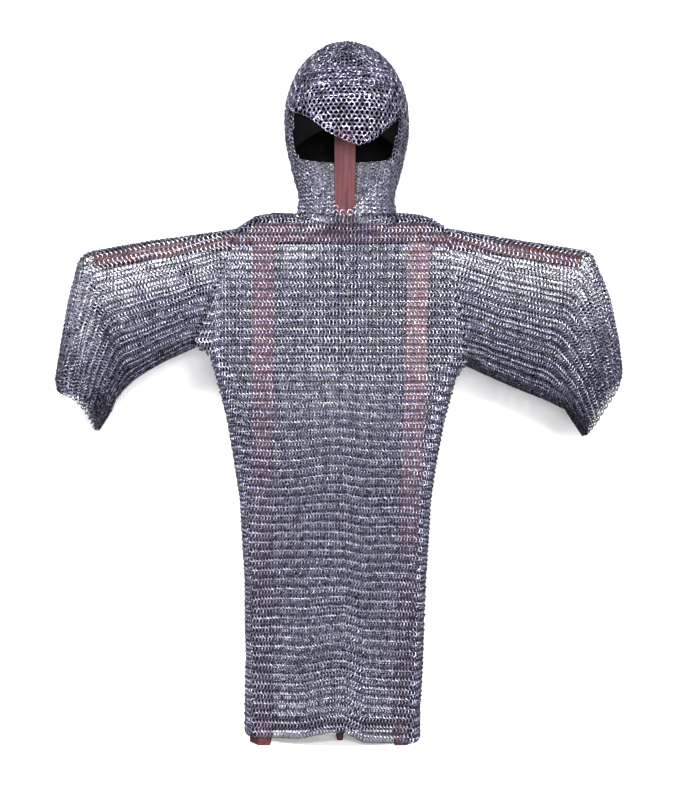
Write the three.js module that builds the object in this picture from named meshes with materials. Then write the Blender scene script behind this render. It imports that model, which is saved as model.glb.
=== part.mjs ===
// Chainmail hauberk with its coif, spread on a wooden display stand.
// Millimetres, +Z up, the front faces -Y. The origin is on the floor, under the base rail's stub foot.
// The mail is modelled as the wall that its rings fill: two layers that fold over at the shoulders,
// down the sides and along the sleeves, and stay open at the face, the cuffs and the hem.
import * as THREE from "three";

// Driving sizes of the mail
const MAIL_WALL = 4;
const SEAM_GAP = 0.3;
const WAIST_HEIGHT = 425;
const SLEEVE_DEPTH = 27;
const CUFF_EXTRA_DEPTH = 20;
const SIDE_FOLD = 30;

// The neck ring, where the coif grows out of the shirt
const NECK = { x: 11, halfWidth: 88, halfDepth: 70, height: 945, frontDrop: 8 };

// The coif: an ellipsoid dome over straight sections
const COIF = { x: 12, halfWidth: 110, halfDepth: 121, domeBase: 1113, domeHeight: 137, crownEdge: 1184 };

// Driving sizes of the stand
const BOARD_THICK = 38;
const STOCK_DEPTH = 64;
const FOOT_HALF_LENGTH = 64;
const BOARD_TOP = 924;
const BOARD_HEIGHT = 32;
const ARM_BAR = { height: 24, depth: 32 };
const POST = { x: 9, top: 1235.5 };
const FORM = { wall: 5, clearance: 1.7, frontRim: 1080, backRim: 1047 };
// The rail spans the feet clear of the floor, and a stub in its middle keeps it from sagging
const RAIL = { bottom: 18, top: 37, stubFoot: 10, stubHead: 16 };
const UPRIGHT = { leftTop: -136.4, leftFoot: -141.5, rightTop: 141, rightFoot: 115 };

// Half depth of the two layers of mail at each height of the shirt
const DEPTHS = [
  { z: 0, depth: 74 },
  { z: 141, depth: 62 },
  { z: 285, depth: 53 },
  { z: 429, depth: 47 },
  { z: 537, depth: 44 },
  { z: 700, depth: 43 },
  { z: 860, depth: 45 },
  { z: 945, depth: 47 },
];

// Folded edges of the mail seen from the front. "fold" is how far in the layers reach full depth.
// The under edges run up the side from the hem to the armpit, then out to the tip of the cuff.
const UNDER_LEFT = [
  { x: -168, z: 0, fold: 20 },
  { x: -166, z: 141, fold: 20 },
  { x: -168, z: 213, fold: 20 },
  { x: -168, z: 285, fold: 20 },
  { x: -173, z: 357, fold: 20 },
  { x: -177, z: 429, fold: 24 },
  { x: -188, z: 501, fold: 32 },
  { x: -200, z: 573, fold: 36 },
  { x: -218, z: 645, fold: 38 },
  { x: -229, z: 681, fold: 34 },
  { x: -264, z: 706, fold: 30 },
  { x: -313, z: 684, fold: 24 },
  { x: -346, z: 666, fold: 22 },
  { x: -373, z: 648, fold: 22 },
  { x: -393, z: 629, fold: 24 },
  { x: -407, z: 611, fold: 28 },
  { x: -415, z: 591, fold: 32 },
  { x: -437, z: 557, fold: 40 },
];
const UNDER_RIGHT = [
  { x: 141, z: 0, fold: 20 },
  { x: 141, z: 69, fold: 20 },
  { x: 145, z: 141, fold: 20 },
  { x: 150, z: 285, fold: 20 },
  { x: 155, z: 357, fold: 20 },
  { x: 159, z: 429, fold: 24 },
  { x: 170, z: 501, fold: 32 },
  { x: 184, z: 573, fold: 36 },
  { x: 204, z: 645, fold: 36 },
  { x: 215, z: 663, fold: 34 },
  { x: 227, z: 674, fold: 30 },
  { x: 284, z: 648, fold: 24 },
  { x: 323, z: 631, fold: 22 },
  { x: 369, z: 613, fold: 24 },
  { x: 407, z: 595, fold: 30 },
  { x: 421, z: 573, fold: 34 },
  { x: 439, z: 547, fold: 40 },
];
// The over edges run from the neck out over the shoulder and the arm bar, then down to the cuff.
const OVER_LEFT = [
  { x: -80, z: 941, fold: 14 },
  { x: -117, z: 942, fold: 14 },
  { x: -152, z: 936, fold: 13 },
  { x: -160, z: 930, fold: 12 },
  { x: -184, z: 914, fold: 8 },
  { x: -337, z: 894, fold: 8 },
  { x: -441, z: 876, fold: 8 },
  { x: -457, z: 872, fold: 12 },
  { x: -469, z: 859, fold: 16 },
  { x: -487, z: 788, fold: 24 },
  { x: -499, z: 717, fold: 28 },
  { x: -510, z: 645, fold: 34 },
  { x: -506, z: 625, fold: 38 },
];
const OVER_RIGHT = [
  { x: 102, z: 942, fold: 14 },
  { x: 140, z: 939, fold: 14 },
  { x: 164, z: 932, fold: 12 },
  { x: 190, z: 915, fold: 8 },
  { x: 252, z: 905, fold: 8 },
  { x: 322, z: 894, fold: 8 },
  { x: 438, z: 876, fold: 8 },
  { x: 452, z: 870, fold: 12 },
  { x: 472, z: 825, fold: 18 },
  { x: 485, z: 789, fold: 24 },
  { x: 499, z: 717, fold: 28 },
  { x: 505, z: 663, fold: 34 },
  { x: 503, z: 647, fold: 38 },
];
const LEFT_ARMPIT = UNDER_LEFT.findIndex((row) => row.x === -264);
const RIGHT_ARMPIT = UNDER_RIGHT.findIndex((row) => row.x === 227);
const LEFT_SHOULDER = OVER_LEFT.findIndex((row) => row.x === -184);
const RIGHT_SHOULDER = OVER_RIGHT.findIndex((row) => row.x === 190);

// Soft ridges (rise above 0) and troughs (below 0) from one point to another, on the front (-1), the
// back (1) or both (0)
const FOLDS = [
  { x0: 0, z0: 850, x1: -10, z1: 300, width: 62, rise: -5, side: 0 },
  { x0: -60, z0: 0, x1: -52, z1: 260, width: 26, rise: 4, side: -1 },
  { x0: 55, z0: 0, x1: 40, z1: 220, width: 24, rise: -4, side: -1 },
  { x0: 30, z0: 0, x1: 22, z1: 280, width: 28, rise: 5, side: 1 },
  { x0: -85, z0: 0, x1: -80, z1: 200, width: 24, rise: -4, side: 1 },
  { x0: -60, z0: 900, x1: 5, z1: 800, width: 16, rise: 4, side: -1 },
  { x0: 80, z0: 900, x1: 15, z1: 800, width: 16, rise: 4, side: -1 },
  { x0: -215, z0: 870, x1: -285, z1: 730, width: 22, rise: -6, side: 0 },
  { x0: -330, z0: 860, x1: -350, z1: 700, width: 20, rise: 4, side: 0 },
  { x0: -452, z0: 840, x1: -405, z1: 650, width: 15, rise: 6, side: 0 },
  { x0: -482, z0: 760, x1: -470, z1: 640, width: 12, rise: -6, side: 0 },
  { x0: 215, z0: 870, x1: 262, z1: 690, width: 22, rise: -6, side: 0 },
  { x0: 320, z0: 860, x1: 345, z1: 660, width: 20, rise: 4, side: 0 },
  { x0: 450, z0: 835, x1: 405, z1: 640, width: 15, rise: 6, side: 0 },
  { x0: 480, z0: 760, x1: 468, z1: 650, width: 12, rise: -6, side: 0 },
];

// The hem's height along the width
const HEM = [
  { x: -168, z: 17 },
  { x: -72, z: 15 },
  { x: -18, z: 25 },
  { x: 9, z: 25 },
  { x: 43, z: 7 },
  { x: 141, z: 6 },
];

// Half width and half depth of the coif below its dome
const COIF_SECTIONS = [
  { z: 937, halfWidth: 88, halfDepth: 70 },
  { z: 969, halfWidth: 84, halfDepth: 70 },
  { z: 987, halfWidth: 86, halfDepth: 76 },
  { z: 1005, halfWidth: 92, halfDepth: 86 },
  { z: 1023, halfWidth: 97, halfDepth: 96 },
  { z: 1041, halfWidth: 101, halfDepth: 104 },
  { z: 1059, halfWidth: 105, halfDepth: 111 },
  { z: 1077, halfWidth: 108.5, halfDepth: 117 },
  { z: 1113, halfWidth: 110, halfDepth: 121 },
];

// The edges of the face opening, from the point of its V up to the corners of the brow
const FACE = [
  { z: 938, left: 10, right: 12 },
  { z: 944, left: -4, right: 22 },
  { z: 955, left: -8, right: 31 },
  { z: 973, left: -17, right: 46 },
  { z: 1007, left: -41, right: 65 },
  { z: 1029, left: -65, right: 86 },
  { z: 1041, left: -74, right: 90 },
  { z: 1058, left: -80, right: 95 },
  { z: 1078, left: -82, right: 101 },
  { z: 1115, left: -78, right: 102 },
];

// The lower edge of the brow
const BROW = [
  { x: -78, z: 1115 },
  { x: -56, z: 1104 },
  { x: -36, z: 1089 },
  { x: -18, z: 1073 },
  { x: 14, z: 1058 },
  { x: 33, z: 1052 },
  { x: 50, z: 1057 },
  { x: 63, z: 1066 },
  { x: 77, z: 1079 },
  { x: 94, z: 1096 },
  { x: 102, z: 1115 },
];

const mail = new THREE.MeshStandardMaterial({ color: 0x8b8a97, roughness: 0.38, metalness: 0.9 });
const wood = new THREE.MeshStandardMaterial({ color: 0x80565b, roughness: 0.6, metalness: 0 });
const black = new THREE.MeshStandardMaterial({ color: 0x0c0a0b, roughness: 0.7, metalness: 0 });

const { clamp, lerp, smoothstep } = THREE.MathUtils;
const part = new THREE.Group();

function addPiece(name, geometry, material) {
  const mesh = new THREE.Mesh(geometry, material);
  mesh.name = name;
  part.add(mesh);
  return mesh;
}

// The value of one column of a table, between its rows
function along(table, key, at, column) {
  const last = table.length - 1;
  for (let i = 0; i < last; i++) {
    if (at <= table[i + 1][key] || i === last - 1) {
      const share = (at - table[i][key]) / (table[i + 1][key] - table[i][key]);
      return lerp(table[i][column], table[i + 1][column], clamp(share, 0, 1));
    }
  }
  return table[last][column];
}

function nearestOnEdge(edge, x, z) {
  let best = { distance: Infinity, fold: 1 };
  for (let i = 0; i < edge.length - 1; i++) {
    const a = edge[i];
    const b = edge[i + 1];
    const dx = b.x - a.x;
    const dz = b.z - a.z;
    const share = clamp(((x - a.x) * dx + (z - a.z) * dz) / (dx * dx + dz * dz), 0, 1);
    const distance = Math.hypot(x - a.x - share * dx, z - a.z - share * dz);
    if (distance < best.distance) best = { distance, fold: lerp(a.fold, b.fold, share) };
  }
  return best;
}

// A quarter of an ellipse: 0 on a folded edge, 1 from the fold inwards
function roundOff(distance, fold) {
  const share = 1 - Math.min(distance / fold, 1);
  return Math.sqrt(1 - share * share);
}

function foldRise(x, z, side) {
  let rise = 0;
  for (const row of FOLDS) {
    if (row.side === 0 || row.side === side) {
      const line = [{ x: row.x0, z: row.z0, fold: 1 }, { x: row.x1, z: row.z1, fold: 1 }];
      const away = nearestOnEdge(line, x, z).distance / row.width;
      rise += row.rise * Math.exp(-away * away);
    }
  }
  return rise;
}

function neckShare(x) {
  const across = (x - NECK.x) / NECK.halfWidth;
  return Math.sqrt(Math.max(0, 1 - across * across));
}

// The top of the shirt: the shoulder line, and the neck ring between the shoulders
function topHeight(x) {
  const share = neckShare(x);
  if (share > 0) return NECK.height - NECK.frontDrop * share;
  const edge = x < NECK.x ? OVER_LEFT.slice(0, LEFT_SHOULDER + 1).reverse() : OVER_RIGHT;
  return along(edge, "x", x, "z");
}

// Half depth of the mail at a place seen from the front. side is -1 on the front, 1 on the back.
function mailDepth(x, z, side) {
  const outward = smoothstep(Math.abs(x), 190, 310);
  const hanging = smoothstep(Math.abs(x), 370, 460) * (1 - smoothstep(z, 600, 850));
  const sleeve = SLEEVE_DEPTH + CUFF_EXTRA_DEPTH * hanging;
  let depth = lerp(along(DEPTHS, "z", z, "depth"), sleeve, outward) + foldRise(x, z, side);
  for (const edge of [UNDER_LEFT, UNDER_RIGHT, OVER_LEFT, OVER_RIGHT]) {
    const near = nearestOnEdge(edge, x, z);
    depth *= roundOff(near.distance, near.fold);
  }
  const share = neckShare(x);
  if (share > 0) {
    const reach = 14 + 31 * share;
    depth = lerp(NECK.halfDepth * share, depth, smoothstep(topHeight(x) - z, 0, reach));
  }
  return Math.max(depth, SEAM_GAP / 2);
}

function mailPoint(x, z, side) {
  return new THREE.Vector3(x, side * mailDepth(x, z, side), z);
}

// Normals of a grid of points from its neighbours, turned so that they point away from the middle
function gridNormals(grid, closed, outward) {
  const rows = grid.length;
  const columns = grid[0].length;
  return grid.map((row, i) =>
    row.map((point, j) => {
      const up = grid[Math.min(i + 1, rows - 1)][j].clone().sub(grid[Math.max(i - 1, 0)][j]);
      const before = closed ? row[(j + columns - 1) % columns] : row[Math.max(j - 1, 0)];
      const after = closed ? row[(j + 1) % columns] : row[Math.min(j + 1, columns - 1)];
      const normal = after.clone().sub(before).cross(up).normalize();
      return normal.dot(outward(point)) < 0 ? normal.negate() : normal;
    }),
  );
}

// Takes out of a normal what points along an axis, so that the wall ends flat across that axis
function flattened(normal, axis) {
  return normal.addScaledVector(axis, -normal.dot(axis)).normalize();
}

function closedVolume(positions, indices) {
  const [a, b, c] = [new THREE.Vector3(), new THREE.Vector3(), new THREE.Vector3()];
  let volume = 0;
  for (let i = 0; i < indices.length; i += 3) {
    a.fromArray(positions, 3 * indices[i]);
    b.fromArray(positions, 3 * indices[i + 1]);
    c.fromArray(positions, 3 * indices[i + 2]);
    volume += a.dot(b.cross(c)) / 6;
  }
  return volume;
}

// A closed wall round a grid of middle points. closed joins the last column to the first one, and a
// pole closes the last row to one point.
function wallGeometry(grid, normals, { thickness = MAIL_WALL, closed = false, pole = null } = {}) {
  const rows = grid.length;
  const columns = grid[0].length;
  const positions = [];
  const indices = [];
  for (const face of [1, -1]) {
    grid.forEach((row, i) =>
      row.forEach((point, j) => {
        positions.push(...point.clone().addScaledVector(normals[i][j], (face * thickness) / 2));
      }),
    );
  }
  const inner = rows * columns;
  const at = (i, j) => i * columns + (j % columns);
  const quad = (a, b, c, d) => indices.push(a, b, c, a, c, d);
  const lastColumn = closed ? columns : columns - 1;
  for (let i = 0; i < rows - 1; i++) {
    for (let j = 0; j < lastColumn; j++) {
      quad(at(i, j), at(i, j + 1), at(i + 1, j + 1), at(i + 1, j));
      quad(inner + at(i, j), inner + at(i + 1, j), inner + at(i + 1, j + 1), inner + at(i, j + 1));
    }
  }
  for (let j = 0; j < lastColumn; j++) {
    quad(at(0, j + 1), at(0, j), inner + at(0, j), inner + at(0, j + 1));
    if (!pole) {
      const end = rows - 1;
      quad(at(end, j), at(end, j + 1), inner + at(end, j + 1), inner + at(end, j));
    }
  }
  if (!closed) {
    const end = columns - 1;
    for (let i = 0; i < rows - 1; i++) {
      quad(at(i, 0), at(i + 1, 0), inner + at(i + 1, 0), inner + at(i, 0));
      quad(at(i + 1, end), at(i, end), inner + at(i, end), inner + at(i + 1, end));
    }
  }
  if (pole) {
    const top = positions.length / 3;
    positions.push(pole.x, pole.y, pole.z + thickness / 2, pole.x, pole.y, pole.z - thickness / 2);
    for (let j = 0; j < columns; j++) {
      indices.push(at(rows - 1, j), at(rows - 1, j + 1), top);
      indices.push(inner + at(rows - 1, j + 1), inner + at(rows - 1, j), top + 1);
    }
  }
  if (closedVolume(positions, indices) < 0) indices.reverse();
  const geometry = new THREE.BufferGeometry();
  geometry.setAttribute("position", new THREE.Float32BufferAttribute(positions, 3));
  geometry.setIndex(indices);
  geometry.computeVertexNormals();
  return geometry;
}

// Places across the shirt: close together in the two folds and even between them
const FOLD_STEPS = 5;
const FLAT_STEPS = 8;

function placesAcross(left, right) {
  const near = [];
  for (let k = 0; k < FOLD_STEPS; k++) {
    near.push(SIDE_FOLD * (1 - Math.cos((k * Math.PI) / 2 / FOLD_STEPS)));
  }
  const middle = [];
  for (let k = 0; k <= FLAT_STEPS; k++) {
    middle.push(lerp(left + SIDE_FOLD, right - SIDE_FOLD, k / FLAT_STEPS));
  }
  return [...near.map((d) => left + d), ...middle, ...near.reverse().map((d) => right - d)];
}

const ALONG_Y = new THREE.Vector3(0, 1, 0);
const ALONG_Z = new THREE.Vector3(0, 0, 1);

function outOfShirt(side) {
  return (point) => new THREE.Vector3(point.x * 0.02, side, (point.z - 700) * 0.002);
}

// The skirt hangs from the waist to the hem, one layer in front and one behind.
function makeSkirt(side) {
  const steps = 7;
  const grid = [];
  for (let i = 0; i <= steps; i++) {
    const height = (x) => lerp(along(HEM, "x", x, "z"), WAIST_HEIGHT - SEAM_GAP / 2, i / steps);
    const left = along(UNDER_LEFT, "z", height(UNDER_LEFT[0].x), "x");
    const right = along(UNDER_RIGHT, "z", height(UNDER_RIGHT[0].x), "x");
    grid.push(placesAcross(left, right).map((x) => mailPoint(x, height(x), side)));
  }
  const normals = gridNormals(grid, false, outOfShirt(side));
  const last = grid[0].length - 1;
  normals.forEach((row) => {
    flattened(row[0], ALONG_Y);
    flattened(row[last], ALONG_Y);
  });
  normals[0].forEach((normal) => flattened(normal, ALONG_Z));
  normals[steps].forEach((normal) => flattened(normal, ALONG_Z));
  return wallGeometry(grid, normals);
}

// The upper body reaches from the waist to the armholes, the shoulder line and the neck ring.
const LOWER_STEPS = 8;
const BELOW_TOP = [0.78, 0.56, 0.36, 0.2, 0.12, 0.068, 0.034, 0.011, 0];

function armholeAxis(under, over) {
  return new THREE.Vector3(over.z - under.z, 0, under.x - over.x).normalize();
}

const LEFT_ARMHOLE = armholeAxis(UNDER_LEFT[LEFT_ARMPIT], OVER_LEFT[LEFT_SHOULDER]);
const RIGHT_ARMHOLE = armholeAxis(UNDER_RIGHT[RIGHT_ARMPIT], OVER_RIGHT[RIGHT_SHOULDER]);

function sideRow(under, armpit, shoulder, step) {
  if (step <= LOWER_STEPS) {
    const z = lerp(WAIST_HEIGHT + SEAM_GAP / 2, under[armpit].z, step / LOWER_STEPS);
    return { x: along(under.slice(0, armpit + 1), "z", z, "x"), z, lift: 0 };
  }
  const below = BELOW_TOP[step - LOWER_STEPS - 1];
  const share = 1 - below;
  return { x: lerp(under[armpit].x, shoulder.x, share), z: lerp(under[armpit].z, shoulder.z, share), lift: share };
}

function makeBody(side) {
  const steps = LOWER_STEPS + BELOW_TOP.length;
  const grid = [];
  for (let i = 0; i <= steps; i++) {
    const left = sideRow(UNDER_LEFT, LEFT_ARMPIT, OVER_LEFT[LEFT_SHOULDER], i);
    const right = sideRow(UNDER_RIGHT, RIGHT_ARMPIT, OVER_RIGHT[RIGHT_SHOULDER], i);
    grid.push(
      placesAcross(left.x, right.x).map((x) => {
        const share = (x - left.x) / (right.x - left.x);
        const inside = clamp(x, OVER_LEFT[LEFT_SHOULDER].x, OVER_RIGHT[RIGHT_SHOULDER].x);
        const level = lerp(OVER_LEFT[LEFT_SHOULDER].z, OVER_RIGHT[RIGHT_SHOULDER].z, share);
        const z = lerp(left.z, right.z, share) + left.lift * (topHeight(inside) - level);
        return mailPoint(x, z, side);
      }),
    );
  }
  const normals = gridNormals(grid, false, outOfShirt(side));
  const last = grid[0].length - 1;
  normals.forEach((row, i) => {
    if (i <= LOWER_STEPS || i === steps) {
      flattened(row[0], ALONG_Y);
      flattened(row[last], ALONG_Y);
    }
    if (i >= LOWER_STEPS) {
      flattened(row[0], LEFT_ARMHOLE);
      flattened(row[last], RIGHT_ARMHOLE);
    }
    if (i === LOWER_STEPS || i === steps) {
      flattened(row[1], LEFT_ARMHOLE);
      flattened(row[last - 1], RIGHT_ARMHOLE);
    }
  });
  normals[0].forEach((normal) => flattened(normal, ALONG_Z));
  for (let j = 1; j < last; j++) {
    const point = grid[steps][j];
    if (neckShare(point.x) > 0) {
      normals[steps][j]
        .set((point.x - NECK.x) / NECK.halfWidth ** 2, point.y / NECK.halfDepth ** 2, 0)
        .normalize();
    } else {
      flattened(normals[steps][j], ALONG_Y);
    }
  }
  return wallGeometry(grid, normals);
}

// A point at a share of a polyline's length
function pointAlong(edge, share) {
  const lengths = edge.slice(1).map((row, i) => Math.hypot(row.x - edge[i].x, row.z - edge[i].z));
  let rest = share * lengths.reduce((sum, length) => sum + length, 0);
  for (let i = 0; i < lengths.length; i++) {
    if (rest <= lengths[i] || i === lengths.length - 1) {
      const t = clamp(rest / lengths[i], 0, 1);
      return { x: lerp(edge[i].x, edge[i + 1].x, t), z: lerp(edge[i].z, edge[i + 1].z, t) };
    }
    rest -= lengths[i];
  }
  return edge[edge.length - 1];
}

// A sleeve is a flattened tube. Its sections fan round the end of the arm bar down to the cuff.
const SLEEVE_STEPS = 14;
const TOP_PLACES = [0, 0.9, 3.2, 8];
const BOTTOM_PLACES = [24, 11, 3, 0];

function makeSleeve(under, over, armpit, shoulder, outwardX, axis, cuffBow) {
  const underLine = under.slice(armpit);
  const overLine = over.slice(shoulder);
  const grid = [];
  for (let i = 0; i <= SLEEVE_STEPS; i++) {
    const share = i / SLEEVE_STEPS;
    const top = pointAlong(overLine, share);
    const bottom = pointAlong(underLine, share);
    const width = Math.hypot(top.x - bottom.x, top.z - bottom.z);
    const middle = [0.25, 0.5, 0.75].map((t) => lerp(TOP_PLACES[3], width - BOTTOM_PLACES[0], t));
    const places = [...TOP_PLACES, ...middle, ...BOTTOM_PLACES.map((d) => width - d)];
    const bow = cuffBow * share ** 6;
    const gap = i === 0 ? outwardX * SEAM_GAP : 0;
    const pointAt = (place, side) => {
      const t = place / width;
      const x = lerp(top.x, bottom.x, t) - outwardX * bow * Math.sin(Math.PI * t) + gap;
      const z = lerp(top.z, bottom.z, t) + bow * Math.sin(Math.PI * t);
      const point = mailPoint(x, z, side);
      if (place === 0 || place === width) point.y = 0;
      return point;
    };
    const front = places.map((place) => pointAt(place, -1));
    const back = places.slice(1, -1).reverse().map((place) => pointAt(place, 1));
    grid.push([...front, ...back]);
  }
  const centres = grid.map((ring) =>
    ring.reduce((sum, point) => sum.add(point), new THREE.Vector3()).divideScalar(ring.length),
  );
  const normals = gridNormals(grid, true, () => ALONG_Y);
  normals.forEach((ring, i) =>
    ring.forEach((normal, j) => {
      if (normal.dot(grid[i][j].clone().sub(centres[i])) < 0) normal.negate();
    }),
  );
  normals[0].forEach((normal) => flattened(normal, axis));
  return wallGeometry(grid, normals, { closed: true });
}

// A point of the coif: turn 0 is the viewer's right, a quarter is the front, a half the left.
function coifPoint(turn, z) {
  let width = along(COIF_SECTIONS, "z", z, "halfWidth");
  let depth = along(COIF_SECTIONS, "z", z, "halfDepth");
  if (z > COIF.domeBase) {
    const level = Math.min((z - COIF.domeBase) / COIF.domeHeight, 1);
    width = COIF.halfWidth * Math.sqrt(1 - level * level);
    depth = COIF.halfDepth * Math.sqrt(1 - level * level);
  }
  return new THREE.Vector3(COIF.x + width * Math.cos(turn), -depth * Math.sin(turn), z);
}

function coifNormal(turn, z) {
  const top = COIF.domeBase + COIF.domeHeight;
  const step = Math.min(1, (top - z) / 2);
  const round = coifPoint(turn + 0.01, z).sub(coifPoint(turn - 0.01, z));
  const up = coifPoint(turn, z + step).sub(coifPoint(turn, z - step));
  const normal = round.cross(up).normalize();
  const out = new THREE.Vector3(Math.cos(turn), -Math.sin(turn), 0.2);
  return normal.dot(out) < 0 ? normal.negate() : normal;
}

function coifTurn(x, z) {
  const width = coifPoint(0, z).x - COIF.x;
  return Math.acos(clamp((x - COIF.x) / width, -1, 1));
}

const BROW_CORNER = FACE[FACE.length - 1];
const BROW_LEFT = coifTurn(BROW_CORNER.left, BROW_CORNER.z);
const BROW_RIGHT = coifTurn(BROW_CORNER.right, BROW_CORNER.z);

// The sides and back of the coif reach from one edge of the face opening round to the other.
function makeCoifSides() {
  const [rows, columns] = [12, 26];
  const front = NECK.height - NECK.frontDrop + 2 * SEAM_GAP;
  const top = COIF.crownEdge - SEAM_GAP / 2;
  const grid = [];
  const normals = [];
  for (let i = 0; i <= rows; i++) {
    const edge = lerp(front, top, i / rows);
    const atFace = edge < BROW_CORNER.z;
    const left = atFace ? coifTurn(along(FACE, "z", edge, "left"), edge) : BROW_LEFT;
    const right = atFace ? coifTurn(along(FACE, "z", edge, "right"), edge) : BROW_RIGHT;
    const turns = [];
    for (let j = 0; j <= columns; j++) turns.push(lerp(left, right + 2 * Math.PI, j / columns));
    const heights = turns.map((turn) => {
      const bottom = NECK.height + 2 * SEAM_GAP - NECK.frontDrop * Math.abs(Math.sin(turn));
      return lerp(bottom, top, i / rows);
    });
    grid.push(turns.map((turn, j) => coifPoint(turn, heights[j])));
    normals.push(turns.map((turn, j) => coifNormal(turn, heights[j])));
  }
  normals[0].forEach((normal) => flattened(normal, ALONG_Z));
  return wallGeometry(grid, normals);
}

// The brow hangs from the crown between the two upper corners of the face opening.
function makeCoifBrow() {
  const [rows, columns] = [5, 12];
  const gap = SEAM_GAP / COIF.halfWidth;
  const grid = [];
  const normals = [];
  for (let i = 0; i <= rows; i++) {
    const turns = [];
    for (let j = 0; j <= columns; j++) {
      turns.push(lerp(BROW_LEFT - gap, BROW_RIGHT + gap, j / columns));
    }
    const heights = turns.map((turn) => {
      const x = COIF.x + COIF.halfWidth * Math.cos(turn);
      return lerp(along(BROW, "x", x, "z"), COIF.crownEdge - SEAM_GAP / 2, i / rows);
    });
    grid.push(turns.map((turn, j) => coifPoint(turn, heights[j])));
    normals.push(turns.map((turn, j) => coifNormal(turn, heights[j])));
  }
  return wallGeometry(grid, normals);
}

function fullTurn(columns) {
  return Array.from({ length: columns }, (_, j) => (2 * Math.PI * j) / columns);
}

function makeCoifCrown() {
  const [rows, columns] = [5, 26];
  const lowest = Math.asin((COIF.crownEdge + SEAM_GAP / 2 - COIF.domeBase) / COIF.domeHeight);
  const grid = [];
  const normals = [];
  for (let i = 0; i < rows; i++) {
    const z = COIF.domeBase + COIF.domeHeight * Math.sin(lerp(lowest, Math.PI / 2, i / rows));
    grid.push(fullTurn(columns).map((turn) => coifPoint(turn, z)));
    normals.push(fullTurn(columns).map((turn) => coifNormal(turn, z)));
  }
  const pole = new THREE.Vector3(COIF.x, 0, COIF.domeBase + COIF.domeHeight);
  return wallGeometry(grid, normals, { closed: true, pole });
}

// The black head form lies close under the coif. Its rim is level at the back and sides and
// rises a little to the forehead.
function makeHeadForm() {
  const [rows, columns] = [7, 26];
  const inset = MAIL_WALL / 2 + FORM.clearance + FORM.wall / 2;
  const rim = (turn) => {
    return lerp(FORM.backRim, FORM.frontRim, Math.max(Math.sin(turn), 0) ** 2);
  };
  const grid = [];
  const normals = [];
  for (let i = 0; i < rows; i++) {
    const turns = fullTurn(columns);
    const heights = turns.map((turn) => {
      const rise = Math.sin(((i / rows) * Math.PI) / 2);
      return lerp(rim(turn), COIF.domeBase + COIF.domeHeight, rise);
    });
    normals.push(turns.map((turn, j) => coifNormal(turn, heights[j])));
    grid.push(turns.map((turn, j) => coifPoint(turn, heights[j]).addScaledVector(normals[i][j], -inset)));
  }
  const pole = new THREE.Vector3(COIF.x, 0, COIF.domeBase + COIF.domeHeight - inset);
  return wallGeometry(grid, normals, { thickness: FORM.wall, closed: true, pole });
}

// A prism with its outline in X and Z, and its depth along Y on both sides of the middle
function frontPrism(points, depth) {
  const shape = new THREE.Shape(points.map(([x, z]) => new THREE.Vector2(x, z)));
  const geometry = new THREE.ExtrudeGeometry(shape, { depth, bevelEnabled: false });
  return geometry.rotateX(Math.PI / 2).translate(0, depth / 2, 0);
}

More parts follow.
